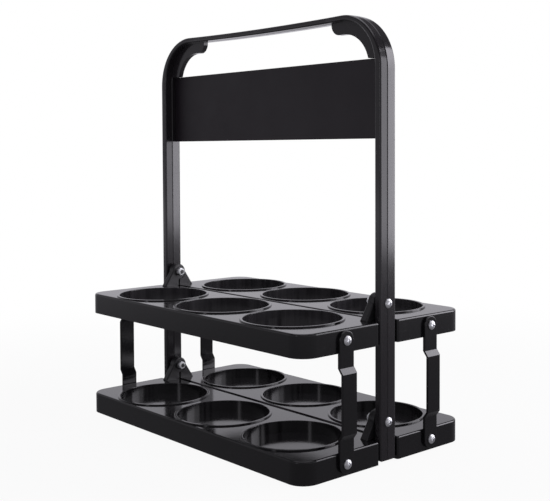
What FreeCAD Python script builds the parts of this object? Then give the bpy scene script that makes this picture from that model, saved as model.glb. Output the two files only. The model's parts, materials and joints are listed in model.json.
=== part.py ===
import FreeCAD, Part
import math
import os

from FreeCAD import Vector

os.makedirs("parts", exist_ok=True)

# All sizes in millimetres. +X points to the right end, -Y to the front, +Z up.
# The origin lies on the ground under the middle of the carrier.

# Trays, each split along its middle into two halves
tray_length = 302.0
tray_width = 180.0
tray_height = 18.0
tray_pitch = 93.0           # upper tray above lower tray
tray_corner = 14.5          # plan radius of the outer corners
split_gap = 1.6             # between the two halves of a tray
plate_wall = 2.4
skirt_wall = 2.2
edge_round = 1.5            # rounding of the upper outer edge
split_round = 2.0           # rounding of the upper edge along the split
rib_wall = 1.6
rib_lift = 3.0              # ribs end this far above the skirt's lower edge
stop_length = 12.0          # pads on which the two halves lean together
stop_height = 6.0
stop_lift = 2.0
stop_play = 0.2

# Bottle seats in a row along each half, as large as these margins allow
seat_count = 3
bore_web = 12.4             # between neighbouring seats
split_margin = 6.9          # from a seat to the split between the halves
rim_margin = 3.3            # from a seat to the long outer face
end_margin = 20.1           # from the last seat to the end face
sleeve_wall = 1.8
bead_width = 2.3            # raised rim round each seat
bead_height = 1.1
bead_round_share = 0.45     # of the bead's height or width, whichever is less
cup_depth = 8.2             # floor of the lower seats, under the upper face of the tray
cup_floor = 1.4             # its thickness
floor_play = 0.1            # round the floors, beside the skirt

# Notch in each tray end, through which a leg passes
notch_play = 1.6            # in front of and behind the leg
notch_clear = 1.0           # inside the leg
notch_round = 2.0

# Handle frame, a flat band bent to a U
handle_height = 351.6
handle_corner = 44.5        # outer radius of the upper corners
leg_depth = 17.3            # band width, front to rear
grip_depth = 15.4           # the same, in the grip, so that bottles pass it
leg_thickness = 6.2         # at the front and rear edges of the band
grip_thickness = 4.2        # the same, in the grip
grip_dip = 1.3              # the middle of the grip lies lower than its ends
band_crown = 0.35           # each face swells this much towards its middle
seam_width = 1.2            # groove along each face
seam_lead = 0.9             # groove in front of the middle
seam_depth = 0.3
band_round = 1.5            # rounding of the band's edges
leg_inset = 0.3             # leg behind the end faces of the trays
leg_lift = 1.7              # lower end of the legs above the ground

# Corner webs under the handle
web_thickness = 4.5
web_lead = 1.5              # front face in front of the middle of the band
web_width = 12.6            # from the leg to the free edge
web_round = 28.0            # radius of the free edge
web_drop = 14.9             # free edge below the top of the handle
web_reach = 18.0            # beyond the corner, along the grip
web_tip = 9.0               # radius of the rounded end

# Sign panel between the legs
panel_height = 63.0
panel_drop = 35.6           # upper edge below the top of the handle
panel_setback = 3.1         # front face behind the middle of the band
panel_thickness = 2.4
panel_slot = 2.0            # depth of the grooves in the legs
panel_play = 0.15
panel_round = 0.6
panel_gap = 0.3             # beside the legs, in front of the grooves
tongue_step = 0.7           # the ends that sit in the grooves are thinner by this

# Pivots that carry the half trays on the legs
pivot_rise = 13.8           # axis above the upper face of a tray
ear_ring = 7.2              # radius round the axis
ear_layer = 3.4             # thickness of one of the two lapped layers
ear_play = 0.2              # between layers, and to the boss on the leg
ear_foot = 15.5             # half width of an ear on the tray
ear_step = 0.8              # height of the upright edge at its foot
ear_round = 1.2             # rounding of the edges that show
ring_clear = 0.4            # round the ring of the other half
boss_radius = 6.0           # boss on the inside of the leg
boss_height = 1.8

# Screws and nuts
screw_shank = 4.0           # diameter
screw_fit = 0.05            # radial play in a turning part
thread_fit = 0.02           # radial play in a nut or boss
head_radius = 3.7
head_height = 2.6
head_rim = 0.8              # straight part of the head
cross_length = 4.2
cross_width = 1.0
cross_depth = 1.5
shank_chamfer = 0.5
seat_margin = 0.6           # flat seat on the leg, round the head
nut_sides = 6
nut_flats = 7.0
nut_height = 3.6
nut_chamfer = 0.6
collar_radius = 3.1
collar_height = 1.4
nut_play = 0.1
shank_end = 0.8             # past the nut

# Link bars at the tray ends
link_row = 47.2             # screws from the split plane
link_screw_share = 0.522    # height of the screws, of a tray's height
link_width = 14.6
link_thickness = 2.3
link_offset = 3.3           # the middle stretch stands out by this
link_play = 0.15            # beside the tray and under the screw head
bend_length = 4.2           # height of one bend
upper_bend = 11.0           # upper bend below the upper tray
lower_bend = 10.0           # lower bend above the lower tray
link_round = 0.5
link_boss_radius = 4.2      # boss in the tray for the screw
link_boss_length = 14.0
link_screw_length = 15.0    # below the head

overrun = 5.0               # cutting shapes reach this far past the surface

# Sizes that follow from those above
tray_end = tray_length / 2
tray_half = tray_width / 2
half_edge = split_gap / 2
row_width = tray_half - half_edge - split_margin - rim_margin
row_length = tray_length - 2 * end_margin
bottle_bore = min(row_width, (row_length - (seat_count - 1) * bore_web) / seat_count)
bore_radius = bottle_bore / 2
bore_pitch = (row_length - bottle_bore) / (seat_count - 1)
bore_row = half_edge + split_margin + row_width / 2
bore_places = [(i - (seat_count - 1) / 2) * bore_pitch for i in range(seat_count)]
web_places = [x + bore_pitch / 2 for x in bore_places[:-1]]
sleeve_radius = bore_radius + sleeve_wall
floor_radius = bore_radius + min(sleeve_wall, rim_margin - skirt_wall) - floor_play
floor_top = tray_height - cup_depth
link_screw_rise = tray_height * link_screw_share

leg_full = leg_thickness + 2 * band_crown
grip_full = grip_thickness + 2 * band_crown
leg_outer = tray_end - leg_inset
leg_inner = leg_outer - leg_full
notch_end = leg_inner - notch_clear
notch_half = leg_depth / 2 + notch_play

# Centres of the arcs in the band: upper corners outside and inside, and the dip of the grip
corner_x = leg_outer - handle_corner
corner_z = handle_height - handle_corner
dip_radius = (corner_x ** 2 + (handle_corner - grip_dip) ** 2 - handle_corner ** 2) / (2 * grip_dip)
dip_z = handle_height - grip_dip + dip_radius
hollow = handle_corner - leg_full
hollow_z = dip_z - math.sqrt((hollow + dip_radius + grip_full) ** 2 - corner_x ** 2)

boss_face = leg_inner - boss_height
ear_outer = boss_face - ear_play
ear_middle = ear_outer - ear_layer
ear_inner = ear_middle - ear_play - ear_layer
ear_layers = [(ear_inner, ear_inner + ear_layer), (ear_middle, ear_outer)]
ear_faces = [ear_inner, ear_outer]
front_ring = 0              # the front half's ring is in the inner layer
rear_ring = 1

shank_radius = screw_shank / 2
pivot_height = tray_height + pivot_rise
lower_base = 0.0
upper_base = tray_pitch
tray_bases = {"lower": lower_base, "upper": upper_base}
ends = {"left": -1, "right": 1}
rib_places = web_places + [s * (ear_inner + ear_outer) / 2 for s in (-1, 1)]
panel_top = handle_height - panel_drop
panel_bottom = panel_top - panel_height
panel_back = panel_setback + panel_thickness
tongue_front = panel_setback + tongue_step
tongue_bottom = panel_bottom + tongue_step
tongue_top = panel_top - tongue_step
head_seat = leg_outer - band_crown
nut_face = ear_inner - nut_play
link_face = tray_end + link_play


def block(x0, x1, y0, y1, z0, z1):
    return Part.makeBox(x1 - x0, y1 - y0, z1 - z0, Vector(x0, y0, z0))


def rod(radius, x0, x1, y, z):
    # cylinder along X
    return Part.makeCylinder(radius, x1 - x0, Vector(x0, y, z), Vector(1, 0, 0))


def post(radius, x, y, z0, z1):
    # cylinder along Z
    return Part.makeCylinder(radius, z1 - z0, Vector(x, y, z0), Vector(0, 0, 1))


def side_prism(points, x0, x1):
    # outline of (y, z) points, extruded along X
    corners = [Vector(x0, y, z) for y, z in points]
    face = Part.Face(Part.makePolygon(corners + corners[:1]))
    return face.extrude(Vector(x1 - x0, 0, 0))


def at_end(side, x0, x1):
    # the span x0..x1 of the right end, or its mirror at the left end
    return (x0, x1) if side > 0 else (-x1, -x0)


def mirrored_x(shape):
    return shape.mirror(Vector(0, 0, 0), Vector(1, 0, 0))


def mirrored_y(shape):
    return shape.mirror(Vector(0, 0, 0), Vector(0, 1, 0))


def line(a, b):
    return Part.LineSegment(a, b).toShape()


def arc(centre, radius, start, end, place):
    # arc about centre, between two angles, in the plane that place gives
    angles = [start, (start + end) / 2, end]
    points = [place(centre[0] + radius * math.cos(a), centre[1] + radius * math.sin(a)) for a in angles]
    return Part.Arc(*points).toShape()


def half_outline(inset):
    # plan of the front half tray, with all its walls moved in by inset
    def flat(x, y):
        return Vector(x, y, 0)

    end = tray_end - inset
    front = -tray_half + inset
    split = -half_edge - inset
    neck = notch_end - inset
    shoulder = -notch_half - inset
    big = tray_corner - inset
    small = max(notch_round - inset, notch_round / 2)
    quarter = math.pi / 2
    right = [
        line(flat(0, front), flat(end - big, front)),
        arc((end - big, front + big), big, -quarter, 0, flat),
        line(flat(end, front + big), flat(end, shoulder - small)),
        arc((end - small, shoulder - small), small, 0, quarter, flat),
        line(flat(end - small, shoulder), flat(neck, shoulder)),
        line(flat(neck, shoulder), flat(neck, split)),
        line(flat(neck, split), flat(0, split)),
    ]
    left = [mirrored_x(edge) for edge in right]
    edges = Part.sortEdges(right + left)[0]
    return Part.Face(Part.Wire(edges))


def tray_shell():
    # plate and skirt, open below
    solid = half_outline(0).extrude(Vector(0, 0, tray_height))
    upper = [e for e in solid.Edges if min(v.Z for v in e.Vertexes) > tray_height - edge_round]
    solid = solid.makeFillet(edge_round, upper)
    cavity = half_outline(skirt_wall).extrude(Vector(0, 0, tray_height - plate_wall + overrun))
    cavity.translate(Vector(0, 0, -overrun))
    return solid.cut(cavity)


def split_corner():
    # the sharp edge along the split, between the ears, which its rounding takes away
    low = tray_height - split_round
    front = -half_edge - split_round
    sharp = block(-ear_inner, ear_inner, front, -half_edge + overrun, low, tray_height + overrun)
    return sharp.cut(rod(split_round, -ear_inner - overrun, ear_inner + overrun, front, low))


def bead(x):
    # raised rim round one seat
    outer = post(bore_radius + bead_width, x, -bore_row, tray_height - plate_wall, tray_height + bead_height)
    inner = post(bore_radius, x, -bore_row, tray_height - plate_wall - overrun, tray_height + bead_height + overrun)
    ring = outer.cut(inner)
    top = tray_height + bead_height
    edges = [e for e in ring.Edges if abs(e.BoundBox.ZMin - top) + abs(e.BoundBox.ZMax - top) < bead_height / 2]
    return ring.makeFillet(min(bead_width, bead_height) * bead_round_share, edges)


def ear_pair(x0, x1):
    # both ears of one tray end as one plate: upright feet, slopes up to the widest points of the ring
    front = [(-ear_foot, tray_height), (-ear_foot, tray_height + ear_step), (-ear_ring, pivot_height)]
    rear = [(-y, z) for y, z in reversed(front)]
    return side_prism(front + rear, x0, x1)


def ear_blank(x0, x1, face):
    # one layer of the pair with its ring, rounded along the plane x = face
    blank = ear_pair(x0, x1).fuse(rod(ear_ring, x0, x1, 0, pivot_height)).removeSplitter()
    rims = [e for e in blank.Edges if abs(e.BoundBox.XMin - face) + abs(e.BoundBox.XMax - face) < ear_play
            and e.BoundBox.ZLength > ear_step and e.BoundBox.YLength > ear_step]
    return blank.makeFillet(ear_round, rims)


def ear(side, ring_layer):
    # ear of a front half: a ring in one layer, room for the other half's ring in the other
    x0, x1 = at_end(side, ear_inner - overrun, ear_outer + overrun)
    front = block(x0, x1, -ear_foot - overrun, -half_edge, tray_height, pivot_height)
    ring = rod(ear_ring, x0, x1, 0, pivot_height)
    room = rod(ear_ring + ring_clear, x0, x1, 0, pivot_height)
    hole = rod(shank_radius + screw_fit, x0, x1, 0, pivot_height)
    # below the rings the two layers are one plate
    middle = at_end(side, ear_inner + ear_layer / 2, ear_outer - ear_layer / 2)
    pieces = [ear_pair(*middle).common(front).cut(room)]
    for layer, span in enumerate(ear_layers):
        blank = ear_blank(*at_end(side, *span), side * ear_faces[layer])
        if layer == ring_layer:
            pieces.append(blank.common(front.fuse(ring)).cut(hole))
        else:
            pieces.append(blank.common(front).cut(room))
    return pieces[0].fuse(pieces[1:]).removeSplitter()


def half_tray(foot):
    # front half of a tray, standing on z = 0, without ears and floors; its sleeves start at the height foot
    solid = tray_shell()
    added = [post(sleeve_radius, x, -bore_row, foot, tray_height) for x in bore_places]
    added += [bead(x) for x in bore_places]
    for x in rib_places:
        added.append(block(x - rib_wall / 2, x + rib_wall / 2, -tray_half + skirt_wall / 2,
                           -half_edge - skirt_wall / 2, rib_lift, tray_height - plate_wall / 2))
    for x in web_places:
        added.append(block(x - stop_length / 2, x + stop_length / 2, -half_edge - skirt_wall / 2,
                           -stop_play / 2, stop_lift, stop_lift + stop_height))
    for side in (-1, 1):
        x0, x1 = at_end(side, tray_end - link_boss_length, tray_end - skirt_wall / 2)
        added.append(rod(link_boss_radius, x0, x1, -link_row, link_screw_rise))
    solid = solid.fuse(added).cut(split_corner())
    holes = [post(bore_radius, x, -bore_row, -overrun, tray_height + overrun) for x in bore_places]
    for side in (-1, 1):
        x0, x1 = at_end(side, tray_end + link_play + link_thickness + link_play - link_screw_length,
                        tray_end + overrun)
        holes.append(rod(shank_radius + thread_fit, x0, x1, -link_row, link_screw_rise))
    return solid.cut(Part.makeCompound(holes)).removeSplitter()


def band_outline(y, swell):
    # closed outline of the U-shaped band at depth y, its faces moved out by swell from the edge size
    def upright(x, z):
        return Vector(x, y, z)

    give = band_crown - swell
    lean = math.atan2(dip_z - corner_z, -corner_x)
    inner_lean = math.atan2(dip_z - hollow_z, -corner_x)
    half_turn = math.pi

    def side_edges(x, low, centre_z, radius, angle):
        # one leg face and its corner, on the right
        return [line(upright(x, low), upright(x, centre_z)),
                arc((corner_x, centre_z), radius, 0, angle, upright)]

    outer = leg_outer - give
    inner = leg_inner + give
    right = side_edges(outer, leg_lift, corner_z, handle_corner - give, lean)
    right += side_edges(inner, leg_lift, hollow_z, hollow + give, inner_lean)
    edges = right + [mirrored_x(edge) for edge in right]
    # upper and lower face of the grip, hollow arcs about a point high above
    edges.append(arc((0, dip_z), dip_radius + give, lean - half_turn, -lean, upright))
    edges.append(arc((0, dip_z), dip_radius + grip_full - give, inner_lean - half_turn, -inner_lean, upright))
    edges += [line(upright(s * inner, leg_lift), upright(s * outer, leg_lift)) for s in (-1, 1)]
    return Part.Wire(Part.sortEdges(edges)[0])


def band_plan():
    # upright block over the plan of the band, deep at the legs and narrower along the grip
    grip = grip_depth / 2
    leg = leg_depth / 2
    stations = [(0, grip), (corner_x / 2, grip), (corner_x, grip), (leg_inner, leg), (leg_outer + overrun, leg)]
    stations = [(-x, y) for x, y in reversed(stations[1:])] + stations
    curve = Part.BSplineCurve()
    curve.interpolate([Vector(x, y, -overrun) for x, y in stations])
    rear = curve.toShape()
    ends = [line(Vector(x, -y, -overrun), Vector(x, y, -overrun)) for x, y in (stations[0], stations[-1])]
    edges = Part.sortEdges([rear, mirrored_y(rear)] + ends)[0]
    return Part.Face(Part.Wire(edges)).extrude(Vector(0, 0, handle_height + 2 * overrun))


def band():
    # the band in slices from front to rear, with a crown and a fine groove in every face, cut to its plan
    half = leg_depth / 2
    deep = half + overrun
    front = -seam_lead - seam_width / 2
    rear = -seam_lead + seam_width / 2
    levels = [(-deep, band_crown * (half - deep) / (half + front)), (front, band_crown),
              (-seam_lead, band_crown - seam_depth),
              (rear, band_crown), (deep, band_crown * (half - deep) / (half - rear))]
    wires = [band_outline(y, swell) for y, swell in levels]
    slices = [Part.makeLoft([a, b], True, True) for a, b in zip(wires, wires[1:])]
    solid = slices[0].fuse(slices[1:]).removeSplitter().common(band_plan())
    narrow = min(half, grip_depth / 2) - seam_depth
    rims = [e for e in solid.Edges if min(abs(e.BoundBox.YMin), abs(e.BoundBox.YMax)) > narrow]
    return solid.makeFillet(band_round, rims)


def corner_web():
    # plate in the right upper corner, from the panel round to a rounded end under the grip
    def upright(x, z):
        return Vector(x, -web_lead, z)

    middle = handle_corner - leg_full / 2
    free_x = leg_inner - web_width
    free_z = handle_height - web_drop
    bend_x = free_x - web_round
    bend_z = free_z - web_round
    tip_x = corner_x - web_reach
    quarter = math.pi / 2
    # the free edge rises straight from the panel, or starts on its arc where that begins lower
    straight = [line(upright(free_x, panel_top), upright(free_x, bend_z))] if bend_z > panel_top else []
    start = math.asin(max(panel_top - bend_z, 0) / web_round)
    foot_x = bend_x + web_round * math.cos(start)
    edges = straight + [
        line(upright(leg_outer - leg_full / 2, panel_top), upright(foot_x, panel_top)),
        arc((bend_x, bend_z), web_round, start, quarter, upright),
        line(upright(bend_x, free_z), upright(tip_x + web_tip, free_z)),
        arc((tip_x + web_tip, free_z + web_tip), web_tip, -quarter, -2 * quarter, upright),
        line(upright(tip_x, free_z + web_tip), upright(tip_x, corner_z + middle)),
        line(upright(tip_x, corner_z + middle), upright(corner_x, corner_z + middle)),
        arc((corner_x, corner_z), middle, quarter, 0, upright),
        line(upright(leg_outer - leg_full / 2, corner_z), upright(leg_outer - leg_full / 2, panel_top)),
    ]
    face = Part.Face(Part.Wire(Part.sortEdges(edges)[0]))
    return face.extrude(Vector(0, web_thickness, 0))


def handle_frame():
    web = corner_web()
    added = [web, mirrored_x(web)]
    holes = []
    for base in tray_bases.values():
        z = base + pivot_height
        for side in (-1, 1):
            added.append(rod(boss_radius, *at_end(side, boss_face, leg_outer - leg_full / 2), 0, z))
            through = at_end(side, boss_face - overrun, leg_outer + overrun)
            holes.append(rod(shank_radius + thread_fit, *through, 0, z))
            holes.append(rod(head_radius + seat_margin, *at_end(side, head_seat, leg_outer + overrun), 0, z))
    for side in (-1, 1):
        x0, x1 = at_end(side, leg_inner - overrun, leg_inner + panel_slot)
        holes.append(block(x0, x1, tongue_front - panel_play, panel_back + panel_play,
                           tongue_bottom - panel_play, tongue_top + panel_play))
    return band().fuse(added).cut(Part.makeCompound(holes)).removeSplitter()


def sign_panel():
    # plate between the legs, with a thinner tongue at each end
    half = leg_inner - panel_gap
    plate = block(-half, half, panel_setback, panel_back, panel_bottom, panel_top)
    long_edges = [e for e in plate.Edges if e.BoundBox.XLength > half]
    plate = plate.makeFillet(panel_round, long_edges)
    # its upper corners follow the inside of the handle's corners
    front = panel_setback - overrun
    depth = panel_thickness + 2 * overrun
    beyond = block(corner_x, half + overrun, front, front + depth, hollow_z, panel_top + overrun)
    inside = Part.makeCylinder(hollow - panel_gap, depth, Vector(corner_x, front, hollow_z), Vector(0, 1, 0))
    beyond = beyond.cut(inside)
    plate = plate.cut(beyond.fuse(mirrored_x(beyond)))
    reach = leg_inner + panel_slot - panel_play
    tongues = block(-reach, reach, tongue_front, panel_back - panel_round, tongue_bottom, tongue_top)
    return plate.fuse(tongues).removeSplitter()


def screw(length):
    # pan head screw, its head on the +X side of x = 0
    def turned(x, r):
        return Vector(x, r, 0)

    dome = head_height - head_rim
    dome_radius = (head_radius ** 2 + dome ** 2) / (2 * dome)
    centre = head_height - dome_radius
    spread = math.asin(head_radius / dome_radius)
    profile = [
        turned(-length, 0),
        turned(-length, shank_radius - shank_chamfer),
        turned(-length + shank_chamfer, shank_radius),
        turned(0, shank_radius),
        turned(0, head_radius),
        turned(head_rim, head_radius),
    ]
    edges = [line(a, b) for a, b in zip(profile, profile[1:])]
    edges.append(arc((centre, 0), dome_radius, spread, 0, turned))
    edges.append(line(turned(head_height, 0), turned(-length, 0)))
    face = Part.Face(Part.Wire(Part.sortEdges(edges)[0]))
    solid = face.revolve(Vector(0, 0, 0), Vector(1, 0, 0), 360)
    long_half = cross_length / 2
    thin_half = cross_width / 2
    for y, z in ((long_half, thin_half), (thin_half, long_half)):
        solid = solid.cut(block(head_height - cross_depth, head_height + overrun, -y, y, -z, z))
    return solid


def lock_nut():
    # hexagon with chamfered corners and a round collar, its seat on x = 0, reaching to -X
    sixth = math.tau / nut_sides
    tip = nut_flats / 2 / math.cos(sixth / 2)
    hexagon = [(tip * math.sin(i * sixth), tip * math.cos(i * sixth)) for i in range(nut_sides)]
    body = side_prism(hexagon, -nut_height, 0)
    barrel = rod(tip, -nut_height, 0, 0, 0)
    barrel = barrel.makeChamfer(nut_chamfer, [e for e in barrel.Edges if e.BoundBox.XLength < nut_chamfer])
    collar = rod(collar_radius, -nut_height - collar_height, -nut_height / 2, 0, 0)
    outer_end = [e for e in collar.Edges if e.BoundBox.XMax < -nut_height]
    collar = collar.makeFillet(collar_height / 2, outer_end)
    bore = rod(shank_radius + thread_fit, -nut_height - collar_height - overrun, overrun, 0, 0)
    return body.common(barrel).fuse(collar).cut(bore).removeSplitter()


def link_bar():
    # bar at the right end, stepped outwards between its two bends
    low = link_screw_rise - link_width / 2
    high = tray_pitch + link_screw_rise + link_width / 2
    upper = upper_base - upper_bend
    lower = tray_height + lower_bend
    near = link_face
    far = link_face + link_offset
    path = [(near, low), (near, lower), (far, lower + bend_length),
            (far, upper - bend_length), (near, upper), (near, high)]
    corners = [Vector(x, -link_width / 2, z) for x, z in path]
    corners += [Vector(x + link_thickness, -link_width / 2, z) for x, z in reversed(path)]
    strip = Part.Face(Part.makePolygon(corners + corners[:1])).extrude(Vector(0, link_width, 0))
    ends = (link_screw_rise, tray_pitch + link_screw_rise)
    near_x = link_face - overrun
    far_x = far + link_thickness + overrun
    front = block(near_x, far_x, -link_width / 2, link_width / 2, *ends)
    front = front.fuse([rod(link_width / 2, near_x, far_x, 0, z) for z in ends]).removeSplitter()
    bar = strip.common(front)
    outer_rim = [e for e in bar.Edges if e.Length > link_width and e.BoundBox.XMin > link_face + link_thickness / 2]
    bar = bar.makeFillet(link_round, outer_rim)
    for z in ends:
        bar = bar.cut(rod(shank_radius + screw_fit, near_x, far_x, 0, z))
    return bar


def save(name, shape):
    solids = shape.Solids
    if len(solids) != 1 or not shape.isValid():
        raise RuntimeError(name + " is not one sound solid")
    solids[0].exportStep("parts/" + name + ".step")
    box = solids[0].BoundBox
    print(name, round(solids[0].Volume), [round(v, 2) for v in (box.XMin, box.XMax, box.YMin, box.YMax,
                                                                box.ZMin, box.ZMax)])


def moved(shape, x, y, z):
    copy = shape.copy()
    copy.translate(Vector(x, y, z))
    return copy


# Handle and panel
save("handle_frame", handle_frame())
save("sign_panel", sign_panel())

# Half trays and their ears; a rear half mirrors a front one but has its rings in the other layer
sleeve_feet = {"lower": floor_top, "upper": 0.0}
for level, base in tray_bases.items():
    tray = half_tray(sleeve_feet[level])
    save(level + "_front_tray", moved(tray, 0, 0, base))
    save(level + "_rear_tray", moved(mirrored_y(tray), 0, 0, base))
    for end, side in ends.items():
        save(level + "_front_" + end + "_ear", moved(ear(side, front_ring), 0, 0, base))
        save(level + "_rear_" + end + "_ear", moved(mirrored_y(ear(side, rear_ring)), 0, 0, base))

# Round floors under the sleeves of the lower seats, counted from the left
for number, x in enumerate(bore_places, start=1):
    floor = post(floor_radius, x, -bore_row, lower_base + floor_top - cup_floor, lower_base + floor_top)
    save("lower_front_floor_" + str(number), floor)
    save("lower_rear_floor_" + str(number), mirrored_y(floor))

# Link bars and their screws
rows = {"front": -link_row, "rear": link_row}
right_link = link_bar()
right_link_screw = moved(screw(link_screw_length), link_face + link_thickness + link_play, 0, 0)
for row, y in rows.items():
    save(row + "_right_link", moved(right_link, 0, y, 0))
    save(row + "_left_link", moved(mirrored_x(right_link), 0, y, 0))
    for level, base in tray_bases.items():
        z = base + link_screw_rise
        save(level + "_" + row + "_right_link_screw", moved(right_link_screw, 0, y, z))
        save(level + "_" + row + "_left_link_screw", moved(mirrored_x(right_link_screw), 0, y, z))

# Pivot screws with their lock nuts
pivot_length = head_seat - nut_face + nut_height + collar_height + shank_end
right_pivot_screw = moved(screw(pivot_length), head_seat, 0, 0)
right_nut = moved(lock_nut(), nut_face, 0, 0)
for level, base in tray_bases.items():
    z = base + pivot_height
    save(level + "_right_pivot_screw", moved(right_pivot_screw, 0, 0, z))
    save(level + "_left_pivot_screw", moved(mirrored_x(right_pivot_screw), 0, 0, z))
    save(level + "_right_pivot_nut", moved(right_nut, 0, 0, z))
    save(level + "_left_pivot_nut", moved(mirrored_x(right_nut), 0, 0, z))
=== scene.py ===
import bpy
import json
import math
from mathutils import Euler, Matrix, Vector

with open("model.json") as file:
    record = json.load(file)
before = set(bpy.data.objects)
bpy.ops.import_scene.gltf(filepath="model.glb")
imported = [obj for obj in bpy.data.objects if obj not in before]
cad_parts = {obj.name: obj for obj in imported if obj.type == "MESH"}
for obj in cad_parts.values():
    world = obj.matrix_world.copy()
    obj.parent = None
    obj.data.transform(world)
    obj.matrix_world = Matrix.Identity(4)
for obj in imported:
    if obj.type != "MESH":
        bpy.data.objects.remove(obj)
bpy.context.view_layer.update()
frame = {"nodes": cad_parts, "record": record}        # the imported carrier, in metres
nodes = frame["nodes"]
scene = bpy.context.scene
scene.view_settings.view_transform = "Standard"


class Wire:
    # one output of a shader node; sums, differences and products of wires add Math nodes
    def __init__(self, tree, socket=None):
        self.tree = tree
        self.socket = socket

    def add(self, kind, settings=None, inputs=None, out=0):
        node = self.tree.nodes.new("ShaderNode" + kind)
        for name, value in (settings or {}).items():
            if name == "stops":
                setStops(node.color_ramp, value)
            else:
                setattr(node, name, value)
        for name, value in (inputs or {}).items():
            if isinstance(value, Wire):
                self.tree.links.new(value.socket, node.inputs[name])
            else:
                node.inputs[name].default_value = value
        return Wire(self.tree, node.outputs[out] if node.outputs else None)

    def maths(self, operation, *values):
        return self.add("Math", {"operation": operation}, dict(enumerate(values)))

    def __add__(self, other):
        return self.maths("ADD", self, other)

    def __radd__(self, other):
        return self.maths("ADD", other, self)

    def __sub__(self, other):
        return self.maths("SUBTRACT", self, other)

    def __rsub__(self, other):
        return self.maths("SUBTRACT", other, self)

    def __mul__(self, other):
        return self.maths("MULTIPLY", self, other)

    def __rmul__(self, other):
        return self.maths("MULTIPLY", other, self)


def toned(grey):
    return (grey, grey, grey, 1)


def setStops(colourRamp, stops):
    # a (place, grey) pair for each end of the ramp
    for element, (place, grey) in zip(colourRamp.elements, stops):
        element.position = place
        element.color = toned(grey)


def newMaterial(name):
    material = bpy.data.materials.new(name)
    material.use_nodes = True
    material.node_tree.nodes.clear()
    return material, Wire(material.node_tree)


def finished(material, wire, sockets):
    shader = wire.add("BsdfPrincipled", None, sockets)
    wire.add("OutputMaterial", None, {"Surface": shader})
    return material


def axes(wire, vector):
    # X, Y and Z of a vector
    split = wire.add("SeparateXYZ", None, {0: vector}).socket.node
    return [Wire(wire.tree, output) for output in split.outputs]


def blend(wire, factor, first, second):
    # the Mix node takes colours at its inputs 6 and 7, and gives one at output 2
    return wire.add("Mix", {"data_type": "RGBA"}, {0: factor, 6: first, 7: second}, 2)


def mixShader(wire, factor, first, second):
    return wire.add("MixShader", None, {0: factor, 1: first, 2: second})


def noise(wire, place, look):
    # look holds its scale to the metre, its detail and its roughness
    return wire.add("TexNoise", None, {"Vector": place, "Scale": look["scale"],
                                       "Detail": look["detail"], "Roughness": look["rough"]})


def patches(wire, place, look, dark=0.0):
    # noise that is dark up to its first cut and white from its second
    first, second = look["cut"]
    stops = [(first, dark), (second, 1.0)]
    return wire.add("ValToRGB", {"stops": stops}, {"Fac": noise(wire, place, look)})


def smooth(wire, value, source, target):
    # soft step between two values
    return wire.add("MapRange", {"interpolation_type": "SMOOTHSTEP"},
                    {"Value": value, "From Min": source[0], "From Max": source[1],
                     "To Min": target[0], "To Max": target[1]})


def bumped(wire, height, lift=1.0):
    # height is in metres, or in shares of a lift in metres
    return wire.add("Bump", None, {"Strength": 1.0, "Distance": lift, "Height": height})


# camera at the photograph's place
photoView = {
    "place": (0.67587, -0.55004, 0.24277),
    "turn": (87.7991, 0.1268, 46.8100),      # degrees
    "lens": 64.279,
    "shift": (-0.10817, -0.11119),
}


def photoCamera(view):
    data = bpy.data.cameras.new("photoCamera")
    data.lens = view["lens"]
    data.shift_x, data.shift_y = view["shift"]
    camera = bpy.data.objects.new("photoCamera", data)
    camera.location = view["place"]
    camera.rotation_euler = Euler([math.radians(a) for a in view["turn"]])
    scene.collection.objects.link(camera)
    scene.camera = camera


photoCamera(photoView)
print("camera at", photoView["place"])


# white studio: the camera sees white all round, the gloss sees a dimmer room
white = toned(1)
black = toned(0)
studio = {
    "ambient": 0.60,                         # light on matte faces
    "tint": (0.95, 0.93, 1.0, 1),
    "room": (0.42, 0.80),                    # white in the gloss, in front and behind
    "roomTurn": (-0.8, 0.6),                 # from front to behind, as Y of the direction
    "slope": (0.60, 0.15),                   # share of that halfway up, left and right
    "slopeTurn": (-0.75, -0.42),             # from left to right, as X
    "slopeRise": (0.25, 0.55),               # from the walls to halfway up, as Z
    "ceiling": 0.5,                          # added to that share overhead
    "ceilingRise": (0.7, 0.92),
    "floorSize": 8.0,
    "floorGrey": 0.45,
    "speckle": {"scale": 60.0, "detail": 3.0, "rough": 0.5},
    "speckleGain": 1.03,                     # the palest specks, as a multiple of floorGrey
    "floorGlow": 0.93,                       # white to the camera, near the carrier
    "glowFade": (0.25, 0.80),                # distances over which the floor turns plain white
    "floorSheen": (0.20, 0.95),              # white in the gloss, near and far
    "sheenFade": (0.2, 2.5),
}
# places and sizes in metres, power in watts
softboxes = {
    "overhead": {
        "place": (0.0, 0.1, 1.3), "aim": (0.0, 0.0, 0.1),
        "size": (1.2, 1.2), "power": 6.0,
    },
    "rightBack": {
        "place": (0.45, 0.663, 0.425), "aim": (0.05, 0.063, 0.425),
        "size": (0.38, 0.67), "power": 4.8,
    },
    "rightSide": {
        "place": (0.72, 0.483, 0.345), "aim": (0.32, -0.117, 0.345),
        "size": (0.27, 0.51), "power": 1.3,
    },
    "frontStrip": {
        "place": (0.30, -1.47, 0.45), "aim": (0.0, 0.0, 0.1),
        "size": (0.16, 0.5), "power": 0.9,
    },
}


def rayKinds(wire):
    # camera or transmission rays, and glossy rays
    path = wire.add("LightPath").socket.node.outputs
    seen = Wire(wire.tree, path["Is Camera Ray"])
    through = Wire(wire.tree, path["Is Transmission Ray"])
    return wire.maths("MAXIMUM", seen, through), Wire(wire.tree, path["Is Glossy Ray"])


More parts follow.
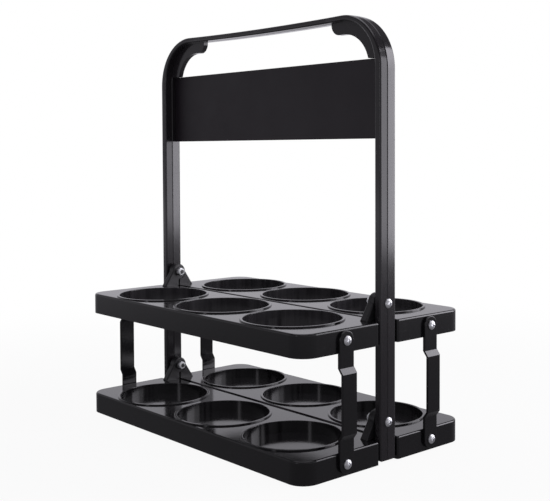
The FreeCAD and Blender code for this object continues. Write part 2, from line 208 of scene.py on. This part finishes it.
def whiteWorld(look):
    world = bpy.data.worlds.new("whiteStudio")
    world.use_nodes = True
    world.node_tree.nodes.clear()
    wire = Wire(world.node_tree)
    x, y, z = axes(wire, wire.add("TexCoord", out="Generated"))
    slope = smooth(wire, x, look["slopeTurn"], look["slope"])
    height = smooth(wire, z, look["slopeRise"], (1.0, slope))
    height = height + smooth(wire, z, look["ceilingRise"], (0.0, look["ceiling"]))
    room = smooth(wire, y, look["roomTurn"], look["room"]) * height
    seen, glossy = rayKinds(wire)
    ambient = wire.add("Background", None, {"Color": look["tint"], "Strength": look["ambient"]})
    dark = wire.add("Background", None, {"Color": black, "Strength": 0.0})
    pale = wire.add("Background", None, {"Color": look["tint"], "Strength": 1.0})
    plain = wire.add("Background", None, {"Color": white, "Strength": 1.0})
    unseen = mixShader(wire, glossy, ambient, mixShader(wire, room, dark, pale))
    wire.add("OutputWorld", None, {"Surface": mixShader(wire, seen, unseen, plain)})
    scene.world = world


def floorMaterial(look):
    material, wire = newMaterial("paleFloor")
    place = wire.add("TexCoord", out="Object")
    away = wire.add("VectorMath", {"operation": "LENGTH"}, {0: place}, "Value")
    glow = smooth(wire, away, look["glowFade"], (look["floorGlow"], 1.0))
    sheen = smooth(wire, away, look["sheenFade"], look["floorSheen"])
    grey = look["floorGrey"]
    specks = noise(wire, place, look["speckle"])
    paint = blend(wire, specks, toned(grey), toned(grey * look["speckleGain"]))
    seen, glossy = rayKinds(wire)
    lit = wire.add("BsdfDiffuse", None, {"Color": paint})
    dark = wire.add("Emission", None, {"Color": black, "Strength": 0.0})
    pale = wire.add("Emission", None, {"Color": look["tint"], "Strength": 1.0})
    plain = wire.add("Emission", None, {"Color": white, "Strength": 1.0})
    unseen = mixShader(wire, glossy, lit, mixShader(wire, sheen, dark, pale))
    wire.add("OutputMaterial", None, {"Surface": mixShader(wire, seen * glow, unseen, plain)})
    return material


def paleFloor(look):
    half = look["floorSize"] / 2
    rim = [(-half, -half, 0), (half, -half, 0), (half, half, 0), (-half, half, 0)]
    mesh = bpy.data.meshes.new("floor")
    mesh.from_pydata(rim, [], [(0, 1, 2, 3)])
    floor = bpy.data.objects.new("floor", mesh)
    floor.data.materials.append(floorMaterial(look))
    scene.collection.objects.link(floor)


def softbox(name, look):
    data = bpy.data.lights.new(name, "AREA")
    data.shape = "RECTANGLE"
    data.size, data.size_y = look["size"]
    data.energy = look["power"]
    data.color = studio["tint"][:3]
    lamp = bpy.data.objects.new(name, data)
    lamp.location = look["place"]
    way = Vector(look["aim"]) - Vector(look["place"])
    lamp.rotation_euler = way.to_track_quat("-Z", "Y").to_euler()
    scene.collection.objects.link(lamp)


whiteWorld(studio)
paleFloor(studio)
for boxName, boxLook in softboxes.items():
    softbox(boxName, boxLook)
print("studio: world, floor and", len(softboxes), "softboxes")


# scuffs: thin straight streaks in one direction, broken up by patches
scuffing = {
    "streaks": {"scale": 1.0, "detail": 2.0, "rough": 0.6},
    "edge": 0.05,                            # how softly a streak starts
    "broken": {"scale": 22.0, "detail": 1.0, "rough": 0.5, "cut": (0.50, 0.66)},
}


def scuffs(wire, place, look):
    laid = wire.add("Mapping", None, {
        "Vector": place, "Rotation": look["turn"], "Scale": look["scale"]})
    streaks = {**scuffing["streaks"], "cut": (look["cut"], look["cut"] + scuffing["edge"])}
    return patches(wire, laid, streaks) * patches(wire, place, scuffing["broken"])


# wear on the walls of the seats, which stand where the record has its bores: upright streaks
# where bottles rub that also paint streaky reflection, faint in the lower seats as painted
# shade under the upper tray
seatBore = next(m for m in frame["record"]["mounts"] if m["name"] == "upper_rear_right_seat")
seatWearAndShade = {
    "inRow": 3,
    "reach": 0.0002,                         # how far outside its bore a wall still counts
    "edge": 0.0004,                          # over which the wear then fades
    "heights": (0.02, 0.09),                 # from the lower seats to the upper ones
    "strength": (0.15, 1.0),                 # of the wear at these heights, faint low down as painted shade in the lower seats
    "stretch": (1.0, 1.0, 0.04),             # makes the streaks upright
    "streaks": {"scale": 170.0, "detail": 3.0, "rough": 0.6, "cut": (0.30, 0.70)},
    "between": 0.25,                         # wear between the streaks
}


# rub wear on the seat walls with painted light and shade: lighter upright streaks, weaker
# towards the lower seats
def seatRubAndShade(wire, place, look):
    pitch, row = seatBore["pos_m"][:2]
    radius = seatBore["dims"]["r_mm"] / 1000 + look["reach"]
    x, y, z = axes(wire, place)
    among = wire.maths("LESS_THAN", wire.maths("ABSOLUTE", x), pitch * look["inRow"] / 2)
    x = wire.maths("WRAP", x, pitch / 2, -pitch / 2)
    y = wire.maths("ABSOLUTE", y) - row
    away = wire.maths("SQRT", x * x + y * y)
    inside = smooth(wire, away, (radius, radius + look["edge"]), (1.0, 0.0))
    strength = smooth(wire, z, look["heights"], look["strength"])
    drawn = wire.add("VectorMath", {"operation": "MULTIPLY"}, {0: place, 1: look["stretch"]})
    return among * inside * strength * patches(wire, drawn, look["streaks"], look["between"])


# gloss black moulding, as its pieces have it in common
mouldedBlack = {
    "black": (0.0050, 0.0047, 0.0053, 1),
    "worn": (0.0300, 0.0288, 0.0308, 1),
    "rubbedAndLit": (0.0310, 0.0296, 0.0318, 1),   # inside the seats, where bottles rub, with painted light: brighter in the upper seats than in the shaded lower ones
    "ior": 1.45,
    "level": 0.10,                           # roughness of faces that look up or down
    "levelTurn": (0.3, 0.9),                 # from upright to level, as Z of the normal
    "smudge": {"scale": 34.0, "detail": 4.0, "rough": 0.62, "cut": (0.36, 0.68)},
    "smear": 0.04,                           # more roughness in smudges
    "fine": {"turn": (0.3, 0.2, 0.6), "scale": (30.0, 900.0, 700.0), "cut": 0.66},
    "cross": {"turn": (0.1, 0.9, -0.5), "scale": (700.0, 40.0, 900.0), "cut": 0.68},
    "scuff": 0.10,                           # strength of both scuffs
    "peel": {"scale": 1400.0, "detail": 1.0, "rough": 0.5},
    "peelLift": 0.0000015,                   # height of the dimples
    "draw": (800.0, 800.0, 9.0),             # upright flow lines, as scales along the axes
    "flow": {"scale": 1.0, "detail": 2.0, "rough": 0.5},
    "seedShares": (1.0, 0.7, 0.4),           # how far a seed moves the patterns, along the axes
}
# the handle is a little greyer than trays and links, and the ears are satin all over
handleBlack = {
    **mouldedBlack,
    "black": (0.0125, 0.0112, 0.0127, 1),
    "upright": 0.13,                         # roughness of upright faces
    "peelLift": 0.0000008,
    "drawLift": 0.0000015,
    "seed": 0.0,
}
trayBlack = {**mouldedBlack, "upright": 0.12, "drawLift": 0.0000008, "seed": 1.3}
linkBlack = {**trayBlack, "seed": 2.9}
earBlack = {
    **mouldedBlack,
    "black": (0.0120, 0.0114, 0.0125, 1),
    "level": 0.36,
    "upright": 0.36,
    "drawLift": 0.000004,
    "seed": 4.1,
}


def mouldedPlastic(name, look):
    material, wire = newMaterial(name)
    place = wire.add("TexCoord", out="Object")
    shift = [look["seed"] * share for share in look["seedShares"]]
    moved = wire.add("VectorMath", {"operation": "ADD"}, {0: place, 1: shift})
    upward = axes(wire, wire.add("TexCoord", out="Normal"))[2]
    start, end = look["levelTurn"]
    level = wire.add("MapRange", None, {
        "Value": wire.maths("ABSOLUTE", upward), "From Min": start, "From Max": end})
    smudge = patches(wire, moved, look["smudge"])
    fine = scuffs(wire, moved, look["fine"])
    cross = scuffs(wire, moved, look["cross"])
    scuff = wire.maths("MAXIMUM", fine, cross) * look["scuff"]
    # the seats' rubbed colour is wear and also painted light, weaker low down as painted shade
    colour = blend(wire, seatRubAndShade(wire, place, seatWearAndShade), look["black"], look["rubbedAndLit"])
    peel = noise(wire, moved, look["peel"]) * look["peelLift"]
    drawn = wire.add("VectorMath", {"operation": "MULTIPLY"}, {0: moved, 1: look["draw"]})
    height = peel + noise(wire, drawn, look["flow"]) * look["drawLift"]
    rough = look["upright"] + (look["level"] - look["upright"]) * level
    return finished(material, wire, {
        "Base Color": blend(wire, scuff, colour, look["worn"]),
        "Roughness": rough + look["smear"] * smudge + scuff,
        "IOR": look["ior"],
        "Normal": bumped(wire, height),
    })


# matte black sheet of the panel
sheetBlack = {
    "black": (0.0070, 0.0040, 0.0072, 1),
    "dust": (0.0135, 0.0106, 0.0138, 1),
    "ior": 1.40,
    "matte": (0.46, 0.60),                   # roughness, clean and dusty
    "mottle": {"scale": 18.0, "detail": 5.0, "rough": 0.6, "cut": (0.34, 0.70)},
    "mottleShare": 0.5,                      # of the dust's colour, in the mottle
    "fine": {"turn": (0.0, 0.1, 0.0), "scale": (18.0, 500.0, 1100.0), "cut": 0.68},
    "fineShare": 0.4,                        # of the dust's colour, in the scuffs
    "finePolish": 0.08,                      # less roughness there
    "tooth": {"scale": 2600.0, "detail": 2.0, "rough": 0.6},
    "toothLift": 0.000012,
}


def panelSheet(name, look):
    material, wire = newMaterial(name)
    place = wire.add("TexCoord", out="Object")
    mottle = patches(wire, place, look["mottle"])
    fine = scuffs(wire, place, look["fine"])
    dust = mottle * look["mottleShare"] + fine * look["fineShare"]
    clean, dull = look["matte"]
    return finished(material, wire, {
        "Base Color": blend(wire, dust, look["black"], look["dust"]),
        "Roughness": clean + (dull - clean) * mottle - fine * look["finePolish"],
        "IOR": look["ior"],
        "Normal": bumped(wire, noise(wire, place, look["tooth"]), look["toothLift"]),
    })


# bright zinc plating of screws and nuts
zincPlate = {
    "bright": (0.78, 0.79, 0.81, 1),
    "stain": (0.45, 0.44, 0.44, 1),
    "polish": (0.40, 0.56),                  # roughness, bright and stained
    "spots": {"scale": 700.0, "detail": 3.0, "rough": 0.6, "cut": (0.42, 0.74)},
    "spotShare": 0.6,                        # of the stain's colour, in the spots
    "pits": {"scale": 5200.0, "detail": 2.0, "rough": 0.6},
    "pitLift": 0.000006,
}
# ends of their own, what is nearer to the middle of the carrier than start: the nut's white
# nylon collar, and the pivot screw's end, painted dark as shade where it sits recessed in the
# nut
nylonCollar = {"colour": (0.72, 0.74, 0.74, 1), "start": 0.1311}
# painted shade: the pivot screw's end is dark where it lies in shadow inside the nut
shadedScrewEnd = {"colour": toned(0.03), "start": nylonCollar["start"]}


def zincSteel(name, look, tip=None):
    material, wire = newMaterial(name)
    place = wire.add("TexCoord", out="Object")
    spots = patches(wire, place, look["spots"])
    colour = blend(wire, spots * look["spotShare"], look["bright"], look["stain"])
    plated = 1.0
    if tip:
        across = wire.maths("ABSOLUTE", axes(wire, place)[0])
        # unplated ends: white nylon on the nut, painted shade on the pivot screw
        collarAndShadedEnd = wire.maths("LESS_THAN", across, tip["start"])
        colour = blend(wire, collarAndShadedEnd, colour, tip["colour"])
        plated = 1.0 - collarAndShadedEnd
    bright, dull = look["polish"]
    return finished(material, wire, {
        "Base Color": colour,
        "Metallic": plated,
        "Roughness": bright + (dull - bright) * spots,
        "Normal": bumped(wire, noise(wire, place, look["pits"]), look["pitLift"]),
    })


finishes = {
    "handle_plastic": mouldedPlastic("handleMoulding", handleBlack),
    "tray_plastic": mouldedPlastic("trayMoulding", trayBlack),
    "link_plastic": mouldedPlastic("linkMoulding", linkBlack),
    "panel_plastic": panelSheet("panelSheet", sheetBlack),
    "fastener_steel": zincSteel("zincSteel", zincPlate),
}
# nodes whose names end so have a finish of their own
endings = {
    "_ear": mouldedPlastic("earMoulding", earBlack),
    "_nut": zincSteel("lockNut", zincPlate, nylonCollar),
    # its inner end is painted dark as shade
    "_pivot_screw": zincSteel("pivotScrew", zincPlate, shadedScrewEnd),
}
for part in frame["record"]["subparts"]:
    finish = finishes[part["material_slot"]]
    for ending, special in endings.items():
        if part["node"].endswith(ending):
            finish = special
    slots = nodes[part["node"]].data.materials
    slots.clear()
    slots.append(finish)
print("finishes on", len(nodes), "nodes")
